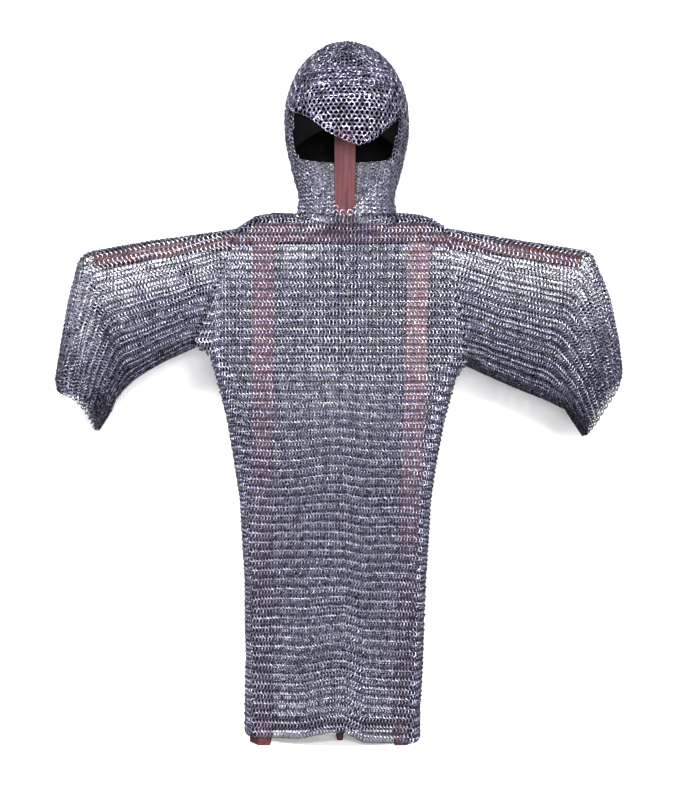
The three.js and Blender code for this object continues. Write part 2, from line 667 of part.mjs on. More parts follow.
function makeStand() {
  const half = BOARD_THICK / 2;
  const boardBottom = BOARD_TOP - BOARD_HEIGHT;
  const footTop = BOARD_THICK;
  const feet = { left: UPRIGHT.leftFoot, right: UPRIGHT.rightFoot };
  const heads = { left: UPRIGHT.leftTop, right: UPRIGHT.rightTop };
  const outward = { left: -1, right: 1 };
  const barTops = { left: [-184, 908.5, -441, 870.5, -444], right: [190, 907.5, 438, 870.5, 433] };
  for (const side of ["left", "right"]) {
    const foot = feet[side];
    const head = heads[side];
    const sign = outward[side];
    const plan = new THREE.Shape([
      new THREE.Vector2(foot - sign * half, -FOOT_HALF_LENGTH),
      new THREE.Vector2(foot + sign * 2, -FOOT_HALF_LENGTH),
      new THREE.Vector2(foot + sign * half, -FOOT_HALF_LENGTH / 2),
      new THREE.Vector2(foot + sign * half, FOOT_HALF_LENGTH / 2),
      new THREE.Vector2(foot + sign * 2, FOOT_HALF_LENGTH),
      new THREE.Vector2(foot - sign * half, FOOT_HALF_LENGTH),
    ]);
    addPiece(`foot_${side}`, new THREE.ExtrudeGeometry(plan, { depth: footTop, bevelEnabled: false }), wood);
    const upright = [
      [foot - half, footTop + SEAM_GAP],
      [foot + half, footTop + SEAM_GAP],
      [head + half, boardBottom - SEAM_GAP],
      [head - half, boardBottom - SEAM_GAP],
    ];
    addPiece(`upright_${side}`, frontPrism(upright, STOCK_DEPTH), wood);
    const [x0, z0, x1, z1, end] = barTops[side];
    const slope = (z1 - z0) / (x1 - x0);
    const start = head + sign * (half + 1.5 * SEAM_GAP);
    const top = (x) => z0 + (x - x0) * slope;
    const bar = [
      [start, top(start)],
      [end, top(end)],
      [end, top(end) - ARM_BAR.height],
      [start, top(start) - ARM_BAR.height],
    ];
    addPiece(`arm_bar_${side}`, frontPrism(bar, ARM_BAR.depth), wood);
  }
  const railLeft = feet.left + half + SEAM_GAP;
  const railRight = feet.right - half - SEAM_GAP;
  const rail = [
    [railLeft, RAIL.bottom],
    [-RAIL.stubHead / 2, RAIL.bottom],
    [-RAIL.stubFoot / 2, 0],
    [RAIL.stubFoot / 2, 0],
    [RAIL.stubHead / 2, RAIL.bottom],
    [railRight, RAIL.bottom],
    [railRight, RAIL.top],
    [railLeft, RAIL.top],
  ];
  addPiece("base_rail", frontPrism(rail, BOARD_THICK), wood);
  const boardLeft = heads.left - half;
  const boardRight = heads.right + half;
  const board = [
    [boardLeft, boardBottom],
    [boardRight, boardBottom],
    [boardRight, BOARD_TOP],
    [boardLeft, BOARD_TOP],
  ];
  addPiece("shoulder_board", frontPrism(board, STOCK_DEPTH), wood);
  const post = [
    [POST.x - half, BOARD_TOP + SEAM_GAP],
    [POST.x + half, BOARD_TOP + SEAM_GAP],
    [POST.x + half, POST.top],
    [POST.x - half, POST.top],
  ];
  addPiece("neck_post", frontPrism(post, BOARD_THICK), wood);
}

makeStand();
addPiece("head_form", makeHeadForm(), black);
addPiece("skirt_front", makeSkirt(-1), mail);
addPiece("skirt_back", makeSkirt(1), mail);
addPiece("body_front", makeBody(-1), mail);
addPiece("body_back", makeBody(1), mail);
const leftSleeve = makeSleeve(UNDER_LEFT, OVER_LEFT, LEFT_ARMPIT, LEFT_SHOULDER, -1, LEFT_ARMHOLE, 12);
const rightSleeve = makeSleeve(UNDER_RIGHT, OVER_RIGHT, RIGHT_ARMPIT, RIGHT_SHOULDER, 1, RIGHT_ARMHOLE, 0);
addPiece("sleeve_left", leftSleeve, mail);
addPiece("sleeve_right", rightSleeve, mail);
addPiece("coif_sides", makeCoifSides(), mail);
addPiece("coif_brow", makeCoifBrow(), mail);
addPiece("coif_crown", makeCoifCrown(), mail);

export default part;
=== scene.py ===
# %% [markdown]
# A chainmail hauberk with its coif hangs on a wooden display stand. Real mail is nothing but rings, so
# the mail here is made of rings too: each one is a small mesh, laid out on the form that the hanging
# mail has. The lesson goes from the frame and the camera to the finishes, then to one ring, to the
# form of the cloth, to the rows of rings on it, and last to the stand and the lights.

# %% Load the fixed frame
import math

import bmesh
import bpy
import numpy as np
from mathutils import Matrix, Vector


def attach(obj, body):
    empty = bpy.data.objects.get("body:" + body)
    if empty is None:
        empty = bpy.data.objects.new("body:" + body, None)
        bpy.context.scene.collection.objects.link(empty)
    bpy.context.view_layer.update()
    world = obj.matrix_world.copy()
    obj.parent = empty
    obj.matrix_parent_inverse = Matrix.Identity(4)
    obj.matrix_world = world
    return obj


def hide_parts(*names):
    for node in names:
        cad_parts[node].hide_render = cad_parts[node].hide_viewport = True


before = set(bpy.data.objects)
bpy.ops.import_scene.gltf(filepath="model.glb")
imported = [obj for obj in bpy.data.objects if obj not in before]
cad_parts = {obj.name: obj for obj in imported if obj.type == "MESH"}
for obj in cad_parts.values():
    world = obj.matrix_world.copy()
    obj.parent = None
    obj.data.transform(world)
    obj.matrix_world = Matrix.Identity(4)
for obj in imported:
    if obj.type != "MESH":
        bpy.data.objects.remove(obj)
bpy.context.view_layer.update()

# %% [markdown]
# The camera comes first, because every later choice is judged through it. The photograph looks level
# and straight at the front, from a few steps away. A fairly long lens keeps the sides parallel, as
# they are there. The height that the frame must hold and the distance give the lens.

# %% Camera
SENSOR_MM = 36.0
VIEW_HEIGHT_M = 1.44
CAMERA_DISTANCE_M = 3.0
CAMERA_X_M = 0.018
CAMERA_Z_M = 0.609


def add_camera():
    """A level camera in front of the hauberk, made the scene's own."""
    data = bpy.data.cameras.new("front_camera")
    data.sensor_fit = "VERTICAL"
    data.sensor_height = SENSOR_MM
    data.lens = SENSOR_MM * CAMERA_DISTANCE_M / VIEW_HEIGHT_M
    camera = bpy.data.objects.new("front_camera", data)
    camera.location = (CAMERA_X_M, -CAMERA_DISTANCE_M, CAMERA_Z_M)
    camera.rotation_euler = (math.pi / 2, 0, 0)
    bpy.context.collection.objects.link(camera)
    bpy.context.scene.camera = camera
    return camera


print("lens in mm:", round(add_camera().data.lens, 1))

# %% [markdown]
# A finish is a small network of nodes. One helper makes a material with its Principled shader, another
# adds a node and feeds its sockets, with values or with the outputs of other nodes, so that each finish
# below stays short. They work on anything that has a node tree, and the world at the end uses them too.

# %% Helpers for finishes


def new_finish(name, metallic, roughness):
    """A material with one Principled shader, and that shader."""
    material = bpy.data.materials.new(name)
    material.use_nodes = True
    shader = material.node_tree.nodes["Principled BSDF"]
    shader.inputs["Metallic"].default_value = metallic
    shader.inputs["Roughness"].default_value = roughness
    return material, shader


def feed(owner, socket, value):
    """Sets a socket, or links it if the value is the output of a node."""
    if isinstance(value, bpy.types.NodeSocket):
        owner.node_tree.links.new(value, socket)
    else:
        socket.default_value = value


def add_node(owner, kind, **values):
    """A node of a material or world, its sockets fed by their names, with spaces as underscores."""
    node = owner.node_tree.nodes.new(kind)
    for name, value in values.items():
        feed(owner, node.inputs[name.replace("_", " ")], value)
    return node


def result_of(owner, operation, *terms):
    """What a maths node makes of its terms."""
    node = add_node(owner, "ShaderNodeMath")
    node.operation = operation
    for socket, term in zip(node.inputs, terms):
        feed(owner, socket, term)
    return node.outputs["Value"]


def colour_ramp(owner, source, stops):
    """Turns a factor into a colour. stops are pairs of a place and a colour."""
    ramp = add_node(owner, "ShaderNodeValToRGB", Fac=source)
    elements = ramp.color_ramp.elements
    while len(elements) < len(stops):
        elements.new(0.5)
    for element, (place, colour) in zip(elements, stops):
        element.position = place
        element.color = (*colour, 1.0)
    return ramp.outputs["Color"]


def in_range(owner, source, **ends):
    """Maps a factor from one range to another. A range that isn't told is 0..1."""
    return add_node(owner, "ShaderNodeMapRange", Value=source, **ends).outputs["Result"]


def object_place(owner):
    """The place on the object, which noise and fades go by."""
    return add_node(owner, "ShaderNodeTexCoord").outputs["Object"]


def noise_at(owner, place, **values):
    return add_node(owner, "ShaderNodeTexNoise", Vector=place, **values).outputs["Fac"]


# %% [markdown]
# Bare steel rings are never all alike. So every vertex carries a number, called tone_and_shade: a
# random tone for each ring, with painted shade on top. It is high on the outer half of a bright ring
# and low on the inner half, which is painted in the bluish grey shade that falls inside the mail, and
# the shader reads it as an attribute. A fine noise on top darkens parts of a ring, as old oil does. An
# image could do this too, but a ring is too small for it, and the attribute costs nothing. The brow
# has a darker steel of its own, a painted shade, because its rings lie flat and would glare.

# %% Steel finish
STEEL_METALLIC = 0.9
STEEL_COLOURS = ((0.008, 0.008, 0.014), (0.35, 0.35, 0.48), (0.93, 0.92, 1.0))
# The brow's colours are darker than the steel's, a painted shade.
SHADED_BROW_COLOURS = ((0.015, 0.014, 0.022), (0.1, 0.092, 0.14), (0.55, 0.51, 0.7))
COLOUR_PLACES = (0.15, 0.45, 0.78)
TONE_SHARE, STAIN_SHARE = 0.75, 0.25
STAIN_SCALE = 260.0
DULL_ROUGH, RUBBED_ROUGH = 0.4, 0.22


def make_steel(name, colours):
    """Steel whose colour and gloss change from ring to ring, and along each ring with its painted
    shade.
    """
    material, shader = new_finish(name, STEEL_METALLIC, DULL_ROUGH)
    # The attribute is each ring's random tone times its painted shade.
    tone_and_shade = add_node(material, "ShaderNodeAttribute")
    tone_and_shade.attribute_name = "tone_and_shade"
    stain = noise_at(material, object_place(material), Scale=STAIN_SCALE, Detail=2.0)
    free_of_stain_and_shade = in_range(material, stain, From_Min=0.3, From_Max=0.7)
    toned = result_of(material, "MULTIPLY", tone_and_shade.outputs["Fac"], TONE_SHARE)
    # The painted shade and the oil stain together set how bright the colour is.
    painted_brightness = result_of(material, "MULTIPLY_ADD", free_of_stain_and_shade, STAIN_SHARE, toned)
    colour = colour_ramp(material, painted_brightness, list(zip(COLOUR_PLACES, colours)))
    feed(material, shader.inputs["Base Color"], colour)
    gloss = in_range(material, painted_brightness, To_Min=DULL_ROUGH, To_Max=RUBBED_ROUGH)
    feed(material, shader.inputs["Roughness"], gloss)
    return material


steel = make_steel("steel_with_painted_shade", STEEL_COLOURS)
shaded_brow_steel = make_steel("shaded_brow_steel", SHADED_BROW_COLOURS)
print("steel finishes:", steel.name, shaded_brow_steel.name)

# %% [markdown]
# The stand is softwood with a reddish brown stain. Grain is noise stretched along the board, so the
# texture's place is squeezed across the grain and left long with it. A little of the same noise goes
# into the bump, because stain raises the grain. The boards differ: the post is dark, and the left
# upright is redder than the right one. Both uprights are lighter than the post, painted light against
# the shade of the mail in front of them. The base rail is darkened all over with painted shade, for it
# stands under the skirt. The post darkens with painted shade towards its top, under the head form and
# the brow, and the uprights towards the bottom, behind the crowded mail. A pair of heights says where
# that starts and where it is complete.

# %% Wood finish
STAINED = ((0.036, 0.008, 0.01), (0.108, 0.036, 0.04))
LYING = ((0.06, 0.019, 0.021), (0.13, 0.052, 0.055))
# The upright colours are lighter than the post's: painted light against the shade of the mail in front.
REDDISH_AND_LIT = ((0.09, 0.036, 0.045), (0.19, 0.09, 0.105))
PALE_AND_LIT = ((0.17, 0.08, 0.085), (0.34, 0.19, 0.2))
# Painted shade: the colour that the post, the uprights and the rail are darkened towards.
PAINTED_SHADE_COLOUR = (0.012, 0.003, 0.004, 1)
MOST_PAINTED_SHADE = 0.85
POST_SHADE_HEIGHTS = (1.0, 1.16)
UPRIGHT_SHADE_HEIGHTS = (0.55, 0.2)
SHADED_ALL_OVER = (0.0, 0.001)
ACROSS_GRAIN, WITH_GRAIN = 160.0, 9.0
UPRIGHT_GRAIN = (ACROSS_GRAIN, ACROSS_GRAIN, WITH_GRAIN)
LYING_GRAIN = (WITH_GRAIN, ACROSS_GRAIN, ACROSS_GRAIN)
FOOT_GRAIN = (ACROSS_GRAIN, WITH_GRAIN, ACROSS_GRAIN)


def darkened(material, place, colour, free_of_stain_and_shade, shaded_height):
    """Fades a colour to painted shade between two heights."""
    height = add_node(material, "ShaderNodeSeparateXYZ", Vector=place).outputs["Z"]
    fade = in_range(material, height, From_Min=free_of_stain_and_shade, From_Max=shaded_height, To_Max=MOST_PAINTED_SHADE)
    mix = add_node(material, "ShaderNodeMix", Factor=fade)
    mix.data_type = "RGBA"
    # A mix node has sockets for every type of data, and these are the ones for colours.
    feed(material, mix.inputs[6], colour)
    feed(material, mix.inputs[7], PAINTED_SHADE_COLOUR)
    return mix.outputs[2]


def add_bump(material, shader, height, strength, distance):
    bump = add_node(material, "ShaderNodeBump", Height=height, Strength=strength, Distance=distance)
    feed(material, shader.inputs["Normal"], bump.outputs["Normal"])


def make_wood(name, stretch, colours, fade=None):
    """Stained wood whose grain runs along the axis with the smallest stretch."""
    material, shader = new_finish(name, 0.0, 0.5)
    shader.inputs["Specular IOR Level"].default_value = 0.2
    place = object_place(material)
    squeezed = add_node(material, "ShaderNodeMapping", Vector=place, Scale=stretch).outputs["Vector"]
    grain = noise_at(material, squeezed, Scale=1.0, Detail=6.0, Roughness=0.65)
    colour = colour_ramp(material, grain, list(zip((0.3, 0.7), colours)))
    if fade:
        colour = darkened(material, place, colour, *fade)
    feed(material, shader.inputs["Base Color"], colour)
    rough = in_range(material, grain, To_Min=0.85, To_Max=0.65)
    feed(material, shader.inputs["Roughness"], rough)
    add_bump(material, shader, grain, 0.25, 0.0006)
    return material


post_wood = make_wood("stained_wood_post", UPRIGHT_GRAIN, STAINED, POST_SHADE_HEIGHTS)
lit_pale_upright_wood = make_wood("lit_pale_wood_upright", UPRIGHT_GRAIN, PALE_AND_LIT, UPRIGHT_SHADE_HEIGHTS)
lit_reddish_upright_wood = make_wood("lit_stained_wood_upright", UPRIGHT_GRAIN, REDDISH_AND_LIT, UPRIGHT_SHADE_HEIGHTS)
lying_wood = make_wood("pale_wood_lying", LYING_GRAIN, LYING)
# The rail under the skirt is darkened all over, a painted shade.
shaded_rail_wood = make_wood("shaded_wood_rail", LYING_GRAIN, STAINED, SHADED_ALL_OVER)
foot_wood = make_wood("stained_wood_foot", FOOT_GRAIN, STAINED)
print("wood finishes:", post_wood.name, lit_pale_upright_wood.name, lying_wood.name, foot_wood.name)

# %% [markdown]
# The head form is a matt black shell. Its finish is almost flat, with a faint mottle and an orange
# peel bump, so that it reads as moulded and not as a hole.

# %% Black finish
BLACK_COLOURS = ((0.0008, 0.0007, 0.0008), (0.0025, 0.002, 0.0027))


def make_black():
    """Matt black with a slight mottle."""
    material, shader = new_finish("matt_black", 0.0, 0.9)
    shader.inputs["Specular IOR Level"].default_value = 0.06
    peel = noise_at(material, object_place(material), Scale=180.0, Detail=3.0)
    colour = colour_ramp(material, peel, list(zip((0.35, 0.7), BLACK_COLOURS)))
    feed(material, shader.inputs["Base Color"], colour)
    add_bump(material, shader, peel, 0.2, 0.0004)
    return material


black = make_black()
print("black finish:", black.name)

# %% [markdown]
# One ring is a torus of few faces: six steps round and a three sided wire are enough at the size that
# a ring has in the picture, and thousands of them must stay light. The rings at the back have five
# steps, because there are more of them. Blender could repeat a ring with an array or with geometry
# nodes. Here numpy places all of a piece's rings at once, because each ring needs its own tilt, and
# the result is one joined mesh.

# %% One piece of mail from many rings
MM = 0.001
RING_RADIUS = 5.0
WIRE_RADIUS = 0.95
BACK_WIRE_RADIUS = 1.02
RING_STEPS = 6
WIRE_SIDES = 3
LEAST_TONE = 0.4
WIRE_GROWTH, RING_GROWTH = 2, 1.8
INNER_SHADE_EDGE = 0.35
dice = np.random.default_rng(11)


def unit(vectors):
    length = np.linalg.norm(vectors, axis=-1, keepdims=True)
    return vectors / np.maximum(length, 1e-9)


def ring_faces(count, steps, sides):
    """Quads of count rings, each with steps round the ring and sides round the wire."""
    step, side = np.meshgrid(np.arange(steps), np.arange(sides), indexing="ij")
    next_step = (step + 1) % steps
    next_side = (side + 1) % sides
    corners = [
        step * sides + side,
        next_step * sides + side,
        next_step * sides + next_side,
        step * sides + next_side,
    ]
    one = np.stack(corners, -1).reshape(-1, 4)
    start = np.arange(count)[:, None, None] * steps * sides
    return (one[None] + start).reshape(-1, 4)


def ring_points(lay, radius, wire, steps, sides):
    """Vertices of all rings of a lay, in millimetres."""
    round_ring = np.arange(steps) * 2 * math.pi / steps
    round_wire = np.arange(sides) * 2 * math.pi / sides
    axis = np.cross(lay["lean"], lay["across"])
    in_plane = (
        np.cos(round_ring)[None, :, None] * lay["lean"][:, None]
        + np.sin(round_ring)[None, :, None] * lay["across"][:, None]
    )
    # Few corners make a ring and its wire look thinner than they are, so both grow a little.
    thick = wire * (1 + WIRE_GROWTH / sides**2)
    reach = radius * (1 + RING_GROWTH / steps**2) + thick * np.cos(round_wire)
    lift = thick * np.sin(round_wire)
    points = (
        lay["centre"][:, None, None]
        + reach[None, None, :, None] * in_plane[:, :, None]
        + lift[None, None, :, None] * axis[:, None, None]
    )
    return points.reshape(-1, 3)


def inner_half_shaded(points, lay, inside):
    """Painted brightness of each vertex: full on the outer half of a ring, and only the share inside on
    the inner half, which gets painted shade.
    """
    offset = points.reshape(len(lay["centre"]), -1, 3) - lay["centre"][:, None]
    height = np.sum(offset * lay["out"][:, None], -1) / RING_RADIUS
    # The inner half of a ring lies in the shade of the rings round it, and gets painted shade here.
    outer = np.clip((height + INNER_SHADE_EDGE) / (2 * INNER_SHADE_EDGE), 0, 1)
    inside = np.reshape(inside, (-1, 1))
    return lay["painted_brightness"][:, None] * (inside + (1 - inside) * outer)


def make_mail(
    name, lay, material, inside=0.0, wire=WIRE_RADIUS, steps=RING_STEPS, sides=WIRE_SIDES
):
    """One joined mesh of rings, smooth shaded, with a tone and a painted shade for each vertex."""
    count = len(lay["centre"])
    points = ring_points(lay, RING_RADIUS, wire, steps, sides)
    painted_brightness = inner_half_shaded(points, lay, inside)
    points *= MM
    faces = ring_faces(count, steps, sides)
    mesh = bpy.data.meshes.new(name)
    mesh.vertices.add(len(points))
    mesh.vertices.foreach_set("co", points.ravel())
    mesh.loops.add(faces.size)
    mesh.loops.foreach_set("vertex_index", faces.ravel().astype(np.int32))
    mesh.polygons.add(len(faces))
    mesh.polygons.foreach_set("loop_start", np.arange(0, faces.size, 4, dtype=np.int32))
    mesh.update(calc_edges=True)
    mesh.polygons.foreach_set("use_smooth", np.ones(len(faces), bool))
    tones = LEAST_TONE + (1 - LEAST_TONE) * dice.random(count)
    tone_and_shade = mesh.attributes.new("tone_and_shade", "FLOAT", "POINT")
    tone_and_shade.data.foreach_set("value", (tones[:, None] * painted_brightness).ravel())
    mesh.materials.append(material)
    piece = bpy.data.objects.new(name, mesh)
    bpy.context.collection.objects.link(piece)
    print(name, "rings:", count, "triangles:", 2 * len(faces))
    return piece


# %% [markdown]
# Mail hangs in two layers, front and back, and its outline is where they fold into each other. So the
# form is told by its folded edges, by how deep the layers are apart, and by a few soft ridges and
# troughs. These are the sizes of the solid model, repeated here in millimetres. In the edges, the third
# column is how far in from the edge the layers reach their full depth.

# %% The folded edges: x, z and fold
UNDER_LEFT = np.array([
    (-168, 0, 20), (-166, 141, 20), (-168, 213, 20), (-168, 285, 20), (-173, 357, 20),
    (-177, 429, 24), (-188, 501, 32), (-200, 573, 36), (-218, 645, 38), (-229, 681, 34),
    (-264, 706, 30), (-313, 684, 24), (-346, 666, 22), (-373, 648, 22), (-393, 629, 24),
    (-407, 611, 28), (-415, 591, 32), (-437, 557, 40),
])
UNDER_RIGHT = np.array([
    (141, 0, 20), (141, 69, 20), (145, 141, 20), (150, 285, 20), (155, 357, 20),
    (159, 429, 24), (170, 501, 32), (184, 573, 36), (204, 645, 36), (215, 663, 34),
    (227, 674, 30), (284, 648, 24), (323, 631, 22), (369, 613, 24), (407, 595, 30),
    (421, 573, 34), (439, 547, 40),
])
OVER_LEFT = np.array([
    (-80, 941, 14), (-117, 942, 14), (-152, 936, 13), (-160, 930, 12), (-184, 914, 8),
    (-337, 894, 8), (-441, 876, 8), (-457, 872, 12), (-469, 859, 16), (-487, 788, 24),
    (-499, 717, 28), (-510, 645, 34), (-506, 625, 38),
])
OVER_RIGHT = np.array([
    (102, 942, 14), (140, 939, 14), (164, 932, 12), (190, 915, 8), (252, 905, 8),
    (322, 894, 8), (438, 876, 8), (452, 870, 12), (472, 825, 18), (485, 789, 24),
    (499, 717, 28), (505, 663, 34), (503, 647, 38),
])
LEFT_ARMPIT, RIGHT_ARMPIT = 10, 10
LEFT_SHOULDER, RIGHT_SHOULDER = 4, 3
print("outline points:", sum(map(len, (UNDER_LEFT, UNDER_RIGHT, OVER_LEFT, OVER_RIGHT))))

# %% [markdown]
# The layers stand farthest apart at the hem and come nearer towards the chest. Each ridge or trough is
# a line as seen from the front, with a width and a rise, because mail creases where it hangs from the
# shoulders and the arm bars. The hem is a polyline of its own: it is raised in the middle.

# %% Depths, hem and folds
DEPTHS = np.array([
    (0, 74), (141, 62), (285, 53), (429, 47), (537, 44), (700, 43), (860, 45), (945, 47),
])
HEM = np.array([(-168, 17), (-72, 15), (-18, 25), (9, 25), (43, 7), (141, 6)])
SLEEVE_DEPTH = 27.0
CUFF_EXTRA_DEPTH = 20.0
ARM_SPAN, CUFF_SPAN, CUFF_HEIGHTS = (190, 310), (370, 460), (600, 850)
NECK_X, NECK_HALF_WIDTH, NECK_HALF_DEPTH = 11.0, 88.0, 70.0
NECK_HEIGHT, NECK_FRONT_DROP = 945.0, 8.0
COLLAR, COLLAR_IN_THE_MIDDLE = 14, 31
# x and z of both ends, width, rise, and the side: -1 front, 1 back, 0 both
FOLDS = [
    (0, 850, -10, 300, 62, -5, 0),
    (-60, 0, -52, 260, 26, 4, -1),
    (55, 0, 40, 220, 24, -4, -1),
    (30, 0, 22, 280, 28, 5, 1),
    (-85, 0, -80, 200, 24, -4, 1),
    (-60, 900, 5, 800, 16, 4, -1),
    (80, 900, 15, 800, 16, 4, -1),
    (-215, 870, -285, 730, 22, -6, 0),
    (-330, 860, -350, 700, 20, 4, 0),
    (-452, 840, -405, 650, 15, 6, 0),
    (-482, 760, -470, 640, 12, -6, 0),
    (215, 870, 262, 690, 22, -6, 0),
    (320, 860, 345, 660, 20, 4, 0),
    (450, 835, 405, 640, 15, 6, 0),
    (480, 760, 468, 650, 12, -6, 0),
]
print("folds:", len(FOLDS))

# %% [markdown]
# The depth at a place is worked out as the solid model does it: the plain depth, plus the ridges,
# rounded off like a quarter of an ellipse near every folded edge. All of it works on whole arrays of
# places, which is what makes tens of thousands of rings quick.

# %% Depth of the layers


def smooth(value, low, high):
    share = np.clip((value - low) / (high - low), 0, 1)
    return share * share * (3 - 2 * share)


def nearest_on_edge(edge, x, z):
    """Distance to a polyline of x, z, fold, and the fold at the nearest place."""
    distance = np.full(np.shape(x), np.inf)
    fold = np.ones(np.shape(x))
    for (x0, z0, f0), (x1, z1, f1) in zip(edge[:-1], edge[1:]):
        dx, dz = x1 - x0, z1 - z0
        share = np.clip(((x - x0) * dx + (z - z0) * dz) / (dx * dx + dz * dz), 0, 1)
        away = np.hypot(x - x0 - share * dx, z - z0 - share * dz)
        closer = away < distance
        distance = np.where(closer, away, distance)
        fold = np.where(closer, f0 + share * (f1 - f0), fold)
    return distance, fold


def neck_share(x):
    return np.sqrt(np.clip(1 - ((x - NECK_X) / NECK_HALF_WIDTH) ** 2, 0, 1))


def top_height(x):
    """The shoulder line, and the neck ring between the shoulders."""
    shoulder = np.where(
        x < NECK_X,
        np.interp(x, OVER_LEFT[LEFT_SHOULDER::-1, 0], OVER_LEFT[LEFT_SHOULDER::-1, 1]),
        np.interp(x, OVER_RIGHT[: RIGHT_SHOULDER + 1, 0], OVER_RIGHT[: RIGHT_SHOULDER + 1, 1]),
    )
    share = neck_share(x)
    return np.where(share > 0, NECK_HEIGHT - NECK_FRONT_DROP * share, shoulder)


def mail_depth(x, z, side):
    """Half depth of the mail at places seen from the front."""
    outward = smooth(np.abs(x), *ARM_SPAN)
    hanging = smooth(np.abs(x), *CUFF_SPAN) * (1 - smooth(z, *CUFF_HEIGHTS))
    sleeve = SLEEVE_DEPTH + CUFF_EXTRA_DEPTH * hanging
    depth = np.interp(z, DEPTHS[:, 0], DEPTHS[:, 1])
    depth = depth + outward * (sleeve - depth)
    for x0, z0, x1, z1, width, rise, where in FOLDS:
        if where in (0, side):
            away, _ = nearest_on_edge([(x0, z0, 1), (x1, z1, 1)], x, z)
            depth = depth + rise * np.exp(-((away / width) ** 2))
    for edge in (UNDER_LEFT, UNDER_RIGHT, OVER_LEFT, OVER_RIGHT):
        away, fold = nearest_on_edge(edge, x, z)
        share = 1 - np.clip(away / fold, 0, 1)
        depth = depth * np.sqrt(1 - share * share)
    share = neck_share(x)
    below = smooth(top_height(x) - z, 0, COLLAR + COLLAR_IN_THE_MIDDLE * share)
    neck = NECK_HALF_DEPTH * share
    return np.where(share > 0, neck + below * (depth - neck), depth)


def mail_place(x, z, side):
    return np.stack([x, side * mail_depth(x, z, side), z], -1)


def mail_normal(x, z, side):
    """Outward normal of the form, from how the depth changes."""
    step = 0.5
    slope_x = (mail_depth(x + step, z, side) - mail_depth(x - step, z, side)) / (2 * step)
    slope_z = (mail_depth(x, z + step, side) - mail_depth(x, z - step, side)) / (2 * step)
    return unit(np.stack([-slope_x, np.full(np.shape(x), float(side)), -slope_z], -1))


print("depth at the chest in mm:", round(float(mail_depth(np.array(0.0), np.array(800.0), -1)), 1))

# %% [markdown]
# In this weave, four rings hang in each ring. All rings of a row lean the same way, the next row leans
# the other way and is shifted by half a ring, and that makes the herringbone look of mail. A lay holds
# the centres of a piece's rings and two directions for each: across, which is up and down the rows,
# and lean, the row's direction turned out of the surface. Crowded rings stand up more, so the lean
# grows where the rings are close together. They also hide each other from the light, as do those that
# hang round the side, and both get painted shade, a darker colour.

# %% Lay of the rings
ROW = 8.2
RELAXED_PITCH = 7.5
LOOSE_PITCH, TIGHT_PITCH = 9.0, 4.5
LEAN, LEAN_WHEN_CROWDED = 24, 20
SLANT, SLANT_WHEN_CROWDED = 12, 20
FREE_JITTER = 0.035
SHADE_WHEN_CROWDED = 0.65
SHADE_AT_SIDES = 0.6


def make_lay(centre, along, normal, row, pitch, jitter=FREE_JITTER, ease=0.0):
    """Centres and directions of rings. row and pitch are one number for all, or one for each ring."""
    along = unit(along)
    normal = unit(normal - np.sum(normal * along, -1, keepdims=True) * along)
    across = np.cross(normal, along)
    crowded = np.clip((LOOSE_PITCH - pitch) / (LOOSE_PITCH - TIGHT_PITCH), 0, 1)
    turned = np.where(row % 2 == 0, 1.0, -1.0)
    slant_nudge, angle_nudge, nod = dice.normal(0, jitter, (3, len(centre)))
    slant = np.radians(SLANT + SLANT_WHEN_CROWDED * crowded) * turned + slant_nudge
    along, across = (
        np.cos(slant)[:, None] * along - np.sin(slant)[:, None] * across,
        np.sin(slant)[:, None] * along + np.cos(slant)[:, None] * across,
    )
    angle = (np.radians(LEAN + LEAN_WHEN_CROWDED * crowded) - ease) * turned + angle_nudge
    lean = np.cos(angle)[:, None] * along + np.sin(angle)[:, None] * normal
    across = unit(across + nod[:, None] * np.cross(lean, across))
    # Painted shade: crowded rings and rings turned to the sides are darkened.
    painted_brightness = (1 - SHADE_WHEN_CROWDED * crowded) * (1 - SHADE_AT_SIDES * (1 - np.abs(normal[:, 1])))
    return {"centre": centre, "across": across, "lean": unit(lean), "out": normal, "painted_brightness": painted_brightness}


def wander(x, z, reach):
    """A slow wave of height over the mail, at most about reach."""
    first = np.sin(x / 41 + 1.3) * np.sin(z / 67 + 0.4)
    second = np.sin(x / 23 - z / 90 + 2.1)
    third = np.sin(x / 87 + z / 38)
    return reach * (0.45 * first + 0.25 * second + 0.3 * third)


def joined(lays):
    return {key: np.concatenate([lay[key] for lay in lays]) for key in lays[0]}


def picked(lay, keep):
    return {key: values[keep] for key, values in lay.items()}


def spaced(curve, shares):
    """Points at shares of a curve's length, their direction and the length."""
    steps = np.linalg.norm(np.diff(curve, axis=0), axis=1)
    length = np.concatenate([[0], np.cumsum(steps)])
    at = np.asarray(shares) * length[-1]
    points = np.stack([np.interp(at, length, curve[:, i]) for i in range(3)], -1)
    ahead = np.stack([np.interp(at + 1, length, curve[:, i]) for i in range(3)], -1)
    behind = np.stack([np.interp(at - 1, length, curve[:, i]) for i in range(3)], -1)
    return points, ahead - behind, length[-1]


# %% [markdown]
# From the hem to the armpits the rows of the shirt run round it, so each row is measured along its
# curve and its rings are spaced evenly from one side fold to the other. The shirt narrows downwards but
# the number of rings stays, and that is why the skirt looks denser than the chest. The back has more
# rings in a row than the front, because two equal layers, one seen through the other, would make a
# coarse pattern of bands.

# %% Rows of the shirt, hem to armpits
COLUMNS = 74
BACK_COLUMNS = 88
BACK_STEPS = 5
ARMPIT_HEIGHT = 680.0
LOWER_ROWS = 81
EDGE_CLEAR = 5.0
HEM_RISE = 12.0
ROW_WANDER = 5.0
ROW_SAMPLES = 241


def half_pitch(row, side=-1):
    """Where a row starts: rows alternate, and the back goes on where the front ends."""
    front = 0.25 if row % 2 == 0 else 0.75
    return front if side < 0 else 1 - front


